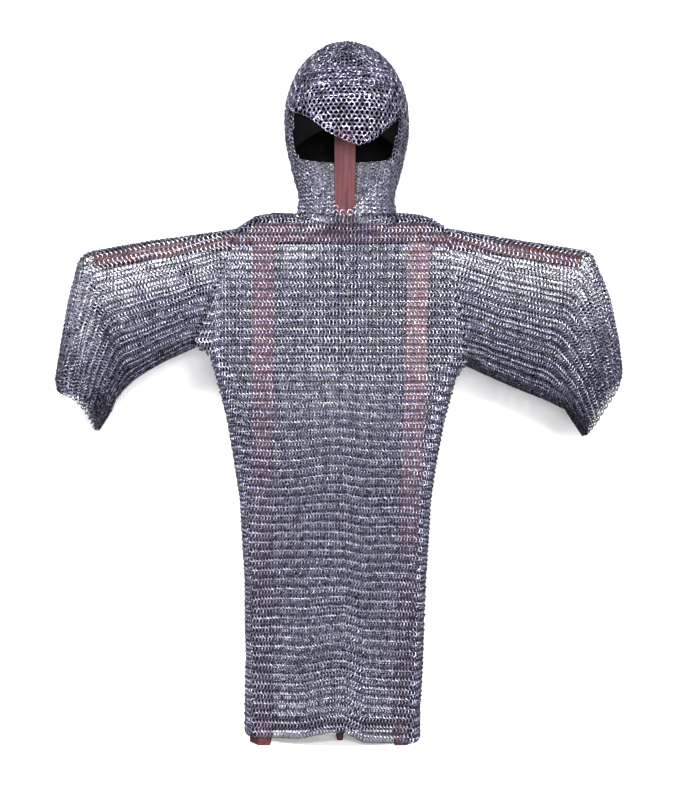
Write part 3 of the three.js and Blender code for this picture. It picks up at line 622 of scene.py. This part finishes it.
def lower_rows(side, columns):
    """One lay for each row from the hem up, and the x of the rings in the top two rows."""
    lays = []
    last_x = {}
    lowest = EDGE_CLEAR + HEM_RISE
    left_edge = UNDER_LEFT[:LEFT_ARMPIT]
    right_edge = UNDER_RIGHT[: RIGHT_ARMPIT + 1]
    sweep = (1 - np.cos(np.linspace(0, math.pi, ROW_SAMPLES))) / 2
    for row in range(LOWER_ROWS):
        share = row / (LOWER_ROWS - 1)
        level = lowest + share * (ARMPIT_HEIGHT - lowest)
        left = np.interp(level, left_edge[:, 1], left_edge[:, 0])
        right = np.interp(level, right_edge[:, 1], right_edge[:, 0])
        x = left + sweep * (right - left)
        bottom = np.interp(x, HEM[:, 0], HEM[:, 1]) + EDGE_CLEAR
        z = bottom + share * (ARMPIT_HEIGHT - bottom)
        # The wave is full halfway up and gone at the hem and at the armpits.
        z = z + wander(x, z, ROW_WANDER) * 4 * share * (1 - share)
        curve = mail_place(x, z, side)
        at = (np.arange(columns) + half_pitch(row, side)) / columns
        centre, along, length = spaced(curve, at)
        normal = mail_normal(centre[:, 0], centre[:, 2], side)
        lays.append(make_lay(centre, along, normal, row, length / columns))
        last_x[row % 2] = centre[:, 0]
    return lays, last_x


front_rows, front_x = lower_rows(-1, COLUMNS)
back_rows, back_x = lower_rows(1, BACK_COLUMNS)
print("rows below the armpits:", len(front_rows), "rings in each:", COLUMNS, "and", BACK_COLUMNS)

# %% [markdown]
# Above the armpits the columns of rings go straight up, and the armhole seams cut them off. Rings are
# laid a row's height apart along each column, over the shoulder too, and a mask keeps those between
# the armhole lines.

# %% Rows of the shirt above the armpits
ARMHOLE_LEFT = (UNDER_LEFT[LEFT_ARMPIT], OVER_LEFT[LEFT_SHOULDER])
ARMHOLE_RIGHT = (UNDER_RIGHT[RIGHT_ARMPIT], OVER_RIGHT[RIGHT_SHOULDER])
UPPER_ROWS = 42
COLUMN_ENDS = (-222, 212)
BUNCHED = 3
EXTRA_LEFT, EXTRA_RIGHT = 10, 5
UNDERARM_X = -226
COLUMN_SAMPLES = 200
LAST_ROW_CLEAR = 0.3
ARMHOLE_CLEAR, UNDERARM_CLEAR = 2, 4
WAIST = 425.0


def armhole_x(line, z):
    (x0, z0, _), (x1, z1, _) = line
    return x0 + (z - z0) * (x1 - x0) / (z1 - z0)


def column_heights(x, side):
    """Heights a row apart on a column, from a row above the armpits, and the numbers of the rows."""
    inside = float(np.clip(x, *COLUMN_ENDS))
    z = np.linspace(ARMPIT_HEIGHT, float(top_height(np.array(inside))), COLUMN_SAMPLES)
    curve = mail_place(np.full(COLUMN_SAMPLES, inside), z, side)
    length = np.concatenate([[0], np.cumsum(np.linalg.norm(np.diff(curve, axis=0), axis=1))])
    up = np.arange(1, UPPER_ROWS + 1)
    up = up[ROW * up < length[-1] - ROW * LAST_ROW_CLEAR]
    return np.interp(ROW * up, length, z), LOWER_ROWS - 1 + up


def upper_rows(side, row_x):
    """The lay of all rings between the armpits, the armholes and the neck."""
    centres, rows, pitches = [], [], []
    underarm = UNDER_LEFT[LEFT_ARMPIT : LEFT_ARMPIT - 3 : -1]
    for parity, xs in row_x.items():
        pitch = np.median(np.diff(xs))
        # The outer columns bunch up at the folds, so even ones take their place and go on outwards.
        even = xs[BUNCHED:-BUNCHED]
        extra_left = even[0] - pitch * np.arange(EXTRA_LEFT, 0, -1)
        extra_right = even[-1] + pitch * np.arange(1, EXTRA_RIGHT + 1)
        for x in np.concatenate([extra_left, even, extra_right]):
            z, row = column_heights(x, side)
            keep = row % 2 == parity
            keep &= x > armhole_x(ARMHOLE_LEFT, z) + ARMHOLE_CLEAR
            keep &= x < armhole_x(ARMHOLE_RIGHT, z) - ARMHOLE_CLEAR
            under = np.interp(x, underarm[:, 0], underarm[:, 1])
            keep &= (z > under + UNDERARM_CLEAR) | (x > UNDERARM_X)
            z = z[keep]
            centres.append(mail_place(np.full(len(z), x), z, side))
            rows.append(row[keep])
            pitches.append(np.full(len(z), pitch))
    centre = np.concatenate(centres)
    normal = mail_normal(centre[:, 0], centre[:, 2], side)
    east = np.array([1.0, 0.0, 0.0])
    along = east - np.sum(east * normal, -1, keepdims=True) * normal
    return make_lay(centre, along, normal, np.concatenate(rows), np.concatenate(pitches))


def make_shirt(side, rows, row_x, place, **ring):
    """The skirt below the waist and the body above it, as two pieces."""
    low = joined(rows)
    below = low["centre"][:, 2] < WAIST
    chest = joined([picked(low, ~below), upper_rows(side, row_x)])
    skirt = make_mail(f"mail_skirt_{place}", picked(low, below), steel, **ring)
    body = make_mail(f"mail_body_{place}", chest, steel, **ring)
    return skirt, body


skirt_front, body_front = make_shirt(-1, front_rows, front_x, "front")
back_ring = {"wire": BACK_WIRE_RADIUS, "steps": BACK_STEPS}
skirt_back, body_back = make_shirt(1, back_rows, back_x, "back", **back_ring)

# %% [markdown]
# On the sleeves the rows run lengthwise, from the armhole to the cuff, and so the closed rows of the
# weave go round the arm. A fine grid of the sleeve is measured twice: first round the tube, which gives
# the rows, and then along each row, which spaces its rings. In the photograph the mail is darker near
# the cuff, where it sags out of the light, so painted shade darkens the rings there.

# %% Sleeves
SLEEVE_ROWS, SLEEVE_BACK_ROWS = 27, 31
SLEEVE_COLUMNS, SLEEVE_BACK_COLUMNS = 60, 69
LEFT_BOW, RIGHT_BOW, BOW_POWER = 12, 0, 6
LONG_SAMPLES, ROUND_SAMPLES = 150, 121
CUFF_SHADE, CUFF_START, CUFF_FADE = 0.45, 0.72, 0.12


def along_edge(edge, shares):
    """x and z at shares of a polyline's length."""
    steps = np.hypot(np.diff(edge[:, 0]), np.diff(edge[:, 1]))
    length = np.concatenate([[0], np.cumsum(steps)])
    at = shares * length[-1]
    return np.interp(at, length, edge[:, 0]), np.interp(at, length, edge[:, 1])


def sleeve_side(under, over, outward, bow, side):
    """Points of half a sleeve: first axis along it, second axis from the top fold to the bottom."""
    share = np.linspace(0, 1, LONG_SAMPLES)
    top_x, top_z = along_edge(over, share)
    low_x, low_z = along_edge(under, share)
    t = (1 - np.cos(np.linspace(0, math.pi, ROUND_SAMPLES))) / 2
    swell = (bow * share**BOW_POWER)[:, None] * np.sin(math.pi * t)[None]
    x = top_x[:, None] + (low_x - top_x)[:, None] * t - outward * swell
    z = top_z[:, None] + (low_z - top_z)[:, None] * t + swell
    return mail_place(x, z, side)


def make_sleeve(name, under, over, outward, bow):
    """A tube of rows, from the top fold down the front and up the back."""
    lays = []
    for side in (-1, 1):
        grid = sleeve_side(under, over, outward, bow, side)
        count = SLEEVE_ROWS if side < 0 else SLEEVE_BACK_ROWS
        columns = SLEEVE_COLUMNS if side < 0 else SLEEVE_BACK_COLUMNS
        places = (np.arange(count) + 0.5) / count
        rows = np.stack([spaced(section, places)[0] for section in grid], 1)
        for i, curve in enumerate(rows):
            row = i if side < 0 else SLEEVE_ROWS + SLEEVE_BACK_ROWS - 1 - i
            at = (np.arange(columns) + half_pitch(row)) / columns
            centre, along, length = spaced(curve, at)
            normal = mail_normal(centre[:, 0], centre[:, 2], side)
            lay = make_lay(centre, along, normal, row, length / columns)
            # Painted shade towards the cuff.
            lay["painted_brightness"] *= 1 - CUFF_SHADE * np.clip((at - CUFF_START) / CUFF_FADE, 0, 1)
            lays.append(lay)
    return make_mail(name, joined(lays), steel)


left_edges = UNDER_LEFT[LEFT_ARMPIT:], OVER_LEFT[LEFT_SHOULDER:]
right_edges = UNDER_RIGHT[RIGHT_ARMPIT:], OVER_RIGHT[RIGHT_SHOULDER:]
sleeve_left = make_sleeve("mail_sleeve_left", *left_edges, -1, LEFT_BOW)
sleeve_right = make_sleeve("mail_sleeve_right", *right_edges, 1, RIGHT_BOW)

# %% [markdown]
# The coif is a hood of mail over the head form. Its form is an ellipsoid dome above straight sections
# that narrow to the neck. A turn of 0 is at the viewer's right, and a quarter turn at the front.

# %% Form of the coif
COIF_X, COIF_HALF_WIDTH = 12.0, 110.0
DOME_BASE, DOME_HEIGHT, CROWN_EDGE = 1113.0, 137.0, 1184.0
COIF_SECTIONS = np.array([
    (937, 88, 70), (969, 84, 70), (987, 86, 76), (1005, 92, 86), (1023, 97, 96),
    (1041, 101, 104), (1059, 105, 111), (1077, 108.5, 117), (1113, 110, 121),
])
FACE = np.array([
    (938, 10, 12), (944, -4, 22), (955, -8, 31), (973, -17, 46), (1007, -41, 65),
    (1029, -65, 86), (1041, -74, 90), (1058, -80, 95), (1078, -82, 101), (1115, -78, 102),
])
BROW = np.array([
    (-78, 1115), (-56, 1104), (-36, 1089), (-18, 1073), (14, 1058), (33, 1052),
    (50, 1057), (63, 1066), (77, 1079), (94, 1096), (102, 1115),
])


def narrowed(z):
    """How much of its full width the dome has at a height."""
    return np.sqrt(1 - np.clip((z - DOME_BASE) / DOME_HEIGHT, 0, 1) ** 2)


def coif_place(turn, z):
    width = np.interp(z, COIF_SECTIONS[:, 0], COIF_SECTIONS[:, 1]) * narrowed(z)
    depth = np.interp(z, COIF_SECTIONS[:, 0], COIF_SECTIONS[:, 2]) * narrowed(z)
    return np.stack([COIF_X + width * np.cos(turn), -depth * np.sin(turn), z + 0 * turn], -1)


def coif_normal(turn, z):
    step = np.minimum(1.0, (DOME_BASE + DOME_HEIGHT - z) / 2)
    round_it = coif_place(turn + 0.01, z) - coif_place(turn - 0.01, z)
    up = coif_place(turn, z + step) - coif_place(turn, z - step)
    normal = unit(np.cross(round_it, up))
    outward = np.stack([np.cos(turn), -np.sin(turn), 0.2 + 0 * turn], -1)
    return normal * np.sign(np.sum(normal * outward, -1, keepdims=True))


def in_face(centre, margin):
    """Whether places on the coif are in the face opening or on the brow."""
    x, y, z = centre.T
    left = np.interp(z, FACE[:, 0], FACE[:, 1]) - margin
    right = np.interp(z, FACE[:, 0], FACE[:, 2]) + margin
    above = z > FACE[-1, 0]
    left = np.where(above, COIF_X - (COIF_X - FACE[-1, 1] + margin) * narrowed(z), left)
    right = np.where(above, COIF_X + (FACE[-1, 2] - COIF_X + margin) * narrowed(z), right)
    return (y < 0) & (x > left) & (x < right) & (z < CROWN_EDGE + margin)


print("coif width in mm:", 2 * COIF_HALF_WIDTH)

# %% [markdown]
# Below the dome the rows of the coif stand upright, side by side round the head. On the dome the rings
# lie in circles round a point on the upper forehead, where this coif's weave has its centre, and each
# circle has as many rings as its length asks for. The inside of the nape is seen through the face
# opening, and it is nearly as bright as the outside, so the inner halves of its rings get less
# painted shade.

# %% Rings of the coif
COIF_COLUMNS = 84
COIF_RINGS_UP = 24
NECK_LENGTH = DOME_BASE - NECK_HEIGHT
POLE_TILT = math.radians(33)
DOME_ROW = 8.0
DOME_ROWS = 41
FIRST_CIRCLE = 0.4
DOME_REACH, DOME_GIRTH = 124, 118
DOME_FOOT, DOME_TIP = 0.02, 0.9995
COIF_JITTER = 0.12
COIF_EASE = math.radians(9)
FACE_MARGIN = 1.5
NAPE_INSIDE_BRIGHTNESS = 0.6


def coif_lower():
    """Upright rows from the neck to the dome, side by side round the head."""
    z = np.linspace(NECK_HEIGHT, DOME_BASE, COLUMN_SAMPLES)
    lays = []
    for row in range(COIF_COLUMNS):
        turn = np.full(COLUMN_SAMPLES, row * 2 * math.pi / COIF_COLUMNS)
        drop = NECK_FRONT_DROP * abs(math.sin(turn[0])) * (DOME_BASE - z) / NECK_LENGTH
        at = (np.arange(COIF_RINGS_UP) + half_pitch(row)) / COIF_RINGS_UP
        centre, along, length = spaced(coif_place(turn, z - drop), at)
        normal = coif_normal(turn[:COIF_RINGS_UP], centre[:, 2])
        pitch = length / COIF_RINGS_UP
        lays.append(make_lay(centre, along, normal, row, pitch, COIF_JITTER, COIF_EASE))
    return joined(lays)


def coif_row(turn, z, row):
    """The lay of one row of rings at turns and heights on the coif."""
    centre = coif_place(turn, z)
    along = np.roll(centre, -1, axis=0) - np.roll(centre, 1, axis=0)
    pitch = np.linalg.norm(along, axis=1) / 2
    return make_lay(centre, along, coif_normal(turn, z), row, pitch, COIF_JITTER, COIF_EASE)


def coif_dome():
    """Circles round a pole that leans towards the forehead."""
    lays = []
    for row in range(DOME_ROWS):
        angle = (row + FIRST_CIRCLE) * DOME_ROW / DOME_REACH
        count = max(4, int(round(2 * math.pi * math.sin(angle) * DOME_GIRTH / RELAXED_PITCH)))
        swing = (np.arange(count) + 0.5 * (row % 2)) * 2 * math.pi / count
        x = math.sin(angle) * np.cos(swing)
        y = -math.sin(angle) * np.sin(swing)
        z = np.full(count, math.cos(angle))
        y, z = (
            y * math.cos(POLE_TILT) - z * math.sin(POLE_TILT),
            y * math.sin(POLE_TILT) + z * math.cos(POLE_TILT),
        )
        height = DOME_BASE + DOME_HEIGHT * np.clip(z, 0, DOME_TIP)
        lay = coif_row(np.arctan2(-y, x), height, row)
        lays.append(picked(lay, z > DOME_FOOT))
    return joined(lays)


coif = joined([coif_lower(), coif_dome()])
coif = picked(coif, ~in_face(coif["centre"], FACE_MARGIN))
on_crown = coif["centre"][:, 2] > CROWN_EDGE
sides_lay = picked(coif, ~on_crown)
# At the nape the inner halves of the rings keep more brightness: less painted shade there.
at_nape = np.clip(sides_lay["out"][:, 1], 0, 1)
coif_crown = make_mail("mail_coif_crown", picked(coif, on_crown), steel)
coif_sides = make_mail("mail_coif_sides", sides_lay, steel, NAPE_INSIDE_BRIGHTNESS * at_nape)

# %% [markdown]
# The brow hangs in front of the head form and is stretched sideways, so its rings lie nearly flat and
# the black shows through them. It is the one place where single rings stand out, and they get more
# steps for that reason. Level rows fill it, and one more row follows its slanting lower edge, so that
# no row ends in a step there.

# %% Rings of the brow
BROW_PITCH, BROW_ROW = 8.7, 6.9
BROW_PROUD = 2.5
BROW_JITTER = 0.13
BROW_EASE = math.radians(7)
BROW_TOP = CROWN_EDGE + 4
BROW_LEFT, BROW_RIGHT = -76, 88
LOWER_EDGE_CLEAR = 9
EDGE_RINGS = 27
EDGE_RISE = 5.0
BROW_RING = {"wire": 0.85, "steps": 9, "sides": 4}


def brow_row(turn, z, along, row):
    """The lay of one row, a little in front of the form."""
    normal = coif_normal(turn, z)
    centre = coif_place(turn, z) + BROW_PROUD * normal
    return make_lay(centre, along, normal, row, BROW_PITCH, BROW_JITTER, BROW_EASE)


def brow_edge(row):
    """The last row, which follows the slanting lower edge."""
    x, z = along_edge(BROW, (np.arange(EDGE_RINGS) + 0.5) / EDGE_RINGS)
    z = z + EDGE_RISE
    turn = np.arccos(np.clip((x - COIF_X) / (COIF_HALF_WIDTH * narrowed(z)), -0.95, 0.95))
    return brow_row(turn, z, np.gradient(coif_place(turn, z), axis=0), row)


def brow_lay():
    """Level rows between the corners of the brow, cut off by its lower edge."""
    lays = []
    z = BROW_TOP
    while z > BROW[:, 1].min():
        row = len(lays)
        count = int(COIF_HALF_WIDTH * narrowed(z) * math.pi / BROW_PITCH)
        turn = (np.arange(count) + 0.5 * (row % 2)) * math.pi / count
        height = np.full(count, z)
        along = np.stack([-np.sin(turn), -np.cos(turn), 0 * turn], -1)
        x = coif_place(turn, height)[:, 0]
        keep = (x > BROW_LEFT * narrowed(z)) & (x < COIF_X + BROW_RIGHT * narrowed(z))
        keep &= z > np.interp(x, BROW[:, 0], BROW[:, 1]) + LOWER_EDGE_CLEAR
        lays.append(picked(brow_row(turn, height, along, row), keep))
        # On the dome the form leans back, and a row takes less of its height.
        level = max(0.0, (z - DOME_BASE) / DOME_HEIGHT)
        z -= BROW_ROW * math.sqrt(1 - 0.6 * level)
    return joined([*lays, brow_edge(len(lays))])


coif_brow = make_mail("mail_coif_brow", brow_lay(), shaded_brow_steel, inside=1.0, **BROW_RING)

# %% [markdown]
# The stand's boards have the right shape already, but sawn wood has eased edges. Each board is copied
# from the frame, its doubled vertices are joined, and its edges are bevelled by a millimetre or two.
# Modelling the boards anew would risk their sizes, and a copy keeps them.

# %% The stand
EASED_EDGE = 0.0018
FLAT_ANGLE, SHARP_ANGLE = 0.02, 0.3
JOINED_WITHIN = 0.00002


def copied_node(node):
    """A copy of a node's mesh that can be edited, its doubled vertices joined."""
    work = bmesh.new()
    work.from_mesh(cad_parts[node].data)
    bmesh.ops.remove_doubles(work, verts=work.verts, dist=JOINED_WITHIN)
    return work


def add_piece(work, name, material):
    """The edited copy as an object of its own."""
    mesh = bpy.data.meshes.new(name)
    work.to_mesh(mesh)
    work.free()
    mesh.materials.append(material)
    piece = bpy.data.objects.new(name, mesh)
    bpy.context.collection.objects.link(piece)
    return piece


def make_board(node, material):
    """A board of the stand with eased edges."""
    work = copied_node(node)
    bmesh.ops.dissolve_limit(work, angle_limit=FLAT_ANGLE, verts=work.verts, edges=work.edges)
    sharp = [edge for edge in work.edges if edge.calc_face_angle(0) > SHARP_ANGLE]
    bmesh.ops.bevel(work, geom=sharp, offset=EASED_EDGE, segments=2, profile=0.6, affect="EDGES")
    return add_piece(work, f"wood_{node}", material)


boards = {
    "neck_post": post_wood,
    "upright_left": lit_reddish_upright_wood,
    "upright_right": lit_pale_upright_wood,
    "shoulder_board": lying_wood,
    "arm_bar_left": lying_wood,
    "arm_bar_right": lying_wood,
    "base_rail": shaded_rail_wood,
    "foot_left": foot_wood,
    "foot_right": foot_wood,
}
stand = {node: make_board(node, material) for node, material in boards.items()}
print("boards:", len(stand))

# %% [markdown]
# The head form is a moulded shell, and its solid is made of flat faces. A subdivision rounds them off.
# It is applied at once, so that the mesh itself is round and the count of faces can be printed.

# %% The head form


def make_head_form():
    """The black shell, smoothed by one subdivision."""
    piece = add_piece(copied_node("head_form"), "head_form_shell", black)
    smoothing = piece.modifiers.new("smoothing", "SUBSURF")
    smoothing.levels = smoothing.render_levels = 1
    bpy.context.view_layer.objects.active = piece
    piece.select_set(True)
    bpy.ops.object.modifier_apply(modifier="smoothing")
    piece.select_set(False)
    piece.data.polygons.foreach_set("use_smooth", np.ones(len(piece.data.polygons), bool))
    return piece


head_form = make_head_form()
print("head form faces:", len(head_form.data.polygons))

# %% [markdown]
# Each piece now rides on the one body, and the solid of the frame that it stands for is hidden.


def declare_mail(piece, node):
    """Rides on the body and hides the node that it replaces."""
    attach(piece, "root")
    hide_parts(node)


declare_mail(skirt_front, "skirt_front")
declare_mail(skirt_back, "skirt_back")
declare_mail(body_front, "body_front")
declare_mail(body_back, "body_back")
declare_mail(sleeve_left, "sleeve_left")
declare_mail(sleeve_right, "sleeve_right")
declare_mail(coif_sides, "coif_sides")
declare_mail(coif_crown, "coif_crown")
declare_mail(coif_brow, "coif_brow")

for node, piece in [*stand.items(), ("head_form", head_form)]:
    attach(piece, "root")
    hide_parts(node)

# %% [markdown]
# The stage is a pale floor that bends up into a pale wall close behind the stand, and that wall is what
# shows through the mail. Steel shows what is around it more than its own colour, so the stage and the
# world are pale only where the camera sees them, and are dark for reflections. The floor glows faintly
# for the camera, as a lit studio floor does, but not inside the hem, where the mail keeps it in shade.
# The wall is one-sided and lets lamps through, so that the back can be looked at too.

# %% Backdrop
BACKDROP_BEND = 0.2
BACKDROP_Y = 0.36
BACKDROP_NEAR, BACKDROP_TOP, BACKDROP_SIDE = -5.0, 4.0, 4.0
FLOOR_GLOW, GLOW_TOP = 0.75, 0.25
SHADE_X, SHADE_Y = 0.13, 0.07
BOUNCE, PALE_GREY = 0.12, 0.88
WHITE = (1, 1, 1, 1)


def backdrop_mesh():
    bend = np.linspace(0, math.pi / 2, 13)
    y = BACKDROP_Y - BACKDROP_BEND + BACKDROP_BEND * np.sin(bend)
    z = BACKDROP_BEND * (1 - np.cos(bend))
    profile = [(BACKDROP_NEAR, 0.0), *zip(y, z), (BACKDROP_Y, BACKDROP_TOP)]
    points = [(x, y, z) for y, z in profile for x in (-BACKDROP_SIDE, BACKDROP_SIDE)]
    faces = [(2 * i, 2 * i + 1, 2 * i + 3, 2 * i + 2) for i in range(len(profile) - 1)]
    mesh = bpy.data.meshes.new("backdrop")
    mesh.from_pydata(points, [], faces)
    mesh.polygons.foreach_set("use_smooth", np.ones(len(faces), bool))
    return mesh


def floor_glow(material):
    """How much the floor glows: less up the wall, and nothing inside the hem."""
    place = object_place(material)
    height = add_node(material, "ShaderNodeSeparateXYZ", Vector=place).outputs["Z"]
    glow = in_range(material, height, From_Max=GLOW_TOP, To_Min=FLOOR_GLOW, To_Max=0.0)
    oval = (1 / SHADE_X, 1 / SHADE_Y, 0.0)
    shaped = add_node(material, "ShaderNodeMapping", Vector=place, Scale=oval)
    distance = add_node(material, "ShaderNodeVectorMath")
    distance.operation = "LENGTH"
    feed(material, distance.inputs[0], shaped.outputs["Vector"])
    outside = in_range(material, distance.outputs["Value"], From_Min=0.9, From_Max=1.1)
    return result_of(material, "MULTIPLY", glow, outside)


def mixed(owner, share, first, second):
    """A mix of two shaders."""
    mix = add_node(owner, "ShaderNodeMixShader")
    for socket, value in zip(mix.inputs, (share, first, second)):
        feed(owner, socket, value)
    return mix.outputs["Shader"]


def one_sided(material, shader, path):
    """Clear from behind, and clear to the lamps' light."""
    back = add_node(material, "ShaderNodeNewGeometry").outputs["Backfacing"]
    gone = result_of(material, "MAXIMUM", back, path.outputs["Is Shadow Ray"])
    clear = add_node(material, "ShaderNodeBsdfTransparent")
    surface = material.node_tree.nodes["Material Output"].inputs["Surface"]
    feed(material, surface, mixed(material, gone, shader.outputs["BSDF"], clear.outputs["BSDF"]))


def make_backdrop():
    """A pale floor that bends up into a pale wall close behind the stand."""
    material, shader = new_finish("pale_backdrop", 0.0, 0.9)
    path = add_node(material, "ShaderNodeLightPath")
    seen = path.outputs["Is Camera Ray"]
    glow = result_of(material, "MULTIPLY", floor_glow(material), seen)
    feed(material, shader.inputs["Emission Color"], WHITE)
    feed(material, shader.inputs["Emission Strength"], glow)
    shades = [(0.0, (BOUNCE, BOUNCE, BOUNCE)), (1.0, (PALE_GREY, PALE_GREY, PALE_GREY))]
    feed(material, shader.inputs["Base Color"], colour_ramp(material, seen, shades))
    one_sided(material, shader, path)
    mesh = backdrop_mesh()
    mesh.materials.append(material)
    backdrop = bpy.data.objects.new("backdrop", mesh)
    bpy.context.collection.objects.link(backdrop)
    print("backdrop faces:", len(mesh.polygons))


make_backdrop()

# %% [markdown]
# The world is white to the camera. For everything else it is a room, nearly black behind the hauberk
# and a little less dark in front of it, so that the rings get their contrast from the lamps alone.

# %% World
ROOM_SHADES = [(0.15, (0.03, 0.03, 0.035)), (0.85, (0.06, 0.06, 0.07))]


def make_world():
    """White to the camera, and a dark room for everything else."""
    world = bpy.data.worlds.new("studio")
    world.use_nodes = True
    bpy.context.scene.world = world
    world.node_tree.nodes.clear()
    way = add_node(world, "ShaderNodeTexCoord").outputs["Generated"]
    back = add_node(world, "ShaderNodeSeparateXYZ", Vector=way).outputs["Y"]
    ahead = in_range(world, back, From_Min=1.0, From_Max=-1.0)
    room = add_node(world, "ShaderNodeBackground", Color=colour_ramp(world, ahead, ROOM_SHADES))
    white = add_node(world, "ShaderNodeBackground", Color=WHITE)
    seen = add_node(world, "ShaderNodeLightPath").outputs["Is Camera Ray"]
    surface = mixed(world, seen, room.outputs["Background"], white.outputs["Background"])
    add_node(world, "ShaderNodeOutputWorld", Surface=surface)
    return world


bpy.context.scene.view_settings.view_transform = "Standard"
print("world nodes:", len(make_world().node_tree.nodes))

# %% [markdown]
# Soft lamps in front, a key from the left, a fill from the right and a small one beside the camera,
# give the rings their glints, as a studio's lamps and a flash do. Two lamps behind and a weak one at
# each side do the same for whoever looks from there. Each is a disk, because a wide lamp makes a soft
# shadow.

# %% Lamps
TARGET = Vector((0.0, 0.0, 0.75))
# place, diameter in metres, and power in watts
LAMPS = {
    "key_lamp": ((-0.35, -3.4, 1.5), 0.7, 185),
    "fill_lamp": ((0.45, -3.4, 0.9), 0.6, 100),
    "flash_lamp": ((0.05, -3.3, 0.62), 0.35, 65),
    "left_back_lamp": ((-1.3, 2.9, 1.9), 1.0, 80),
    "right_back_lamp": ((1.5, 2.8, 1.1), 1.0, 60),
    "left_side_lamp": ((-2.6, 0.2, 1.2), 0.8, 16),
    "right_side_lamp": ((2.6, 0.2, 1.2), 0.8, 16),
}


def add_lamp(name, location, size, power):
    """A round lamp that points at the chest."""
    data = bpy.data.lights.new(name, "AREA")
    data.shape = "DISK"
    data.size = size
    data.energy = power
    lamp = bpy.data.objects.new(name, data)
    lamp.location = location
    lamp.rotation_euler = (TARGET - Vector(location)).to_track_quat("-Z", "Y").to_euler()
    bpy.context.collection.objects.link(lamp)
    print(name, "power in watts:", power)


for name, values in LAMPS.items():
    add_lamp(name, *values)
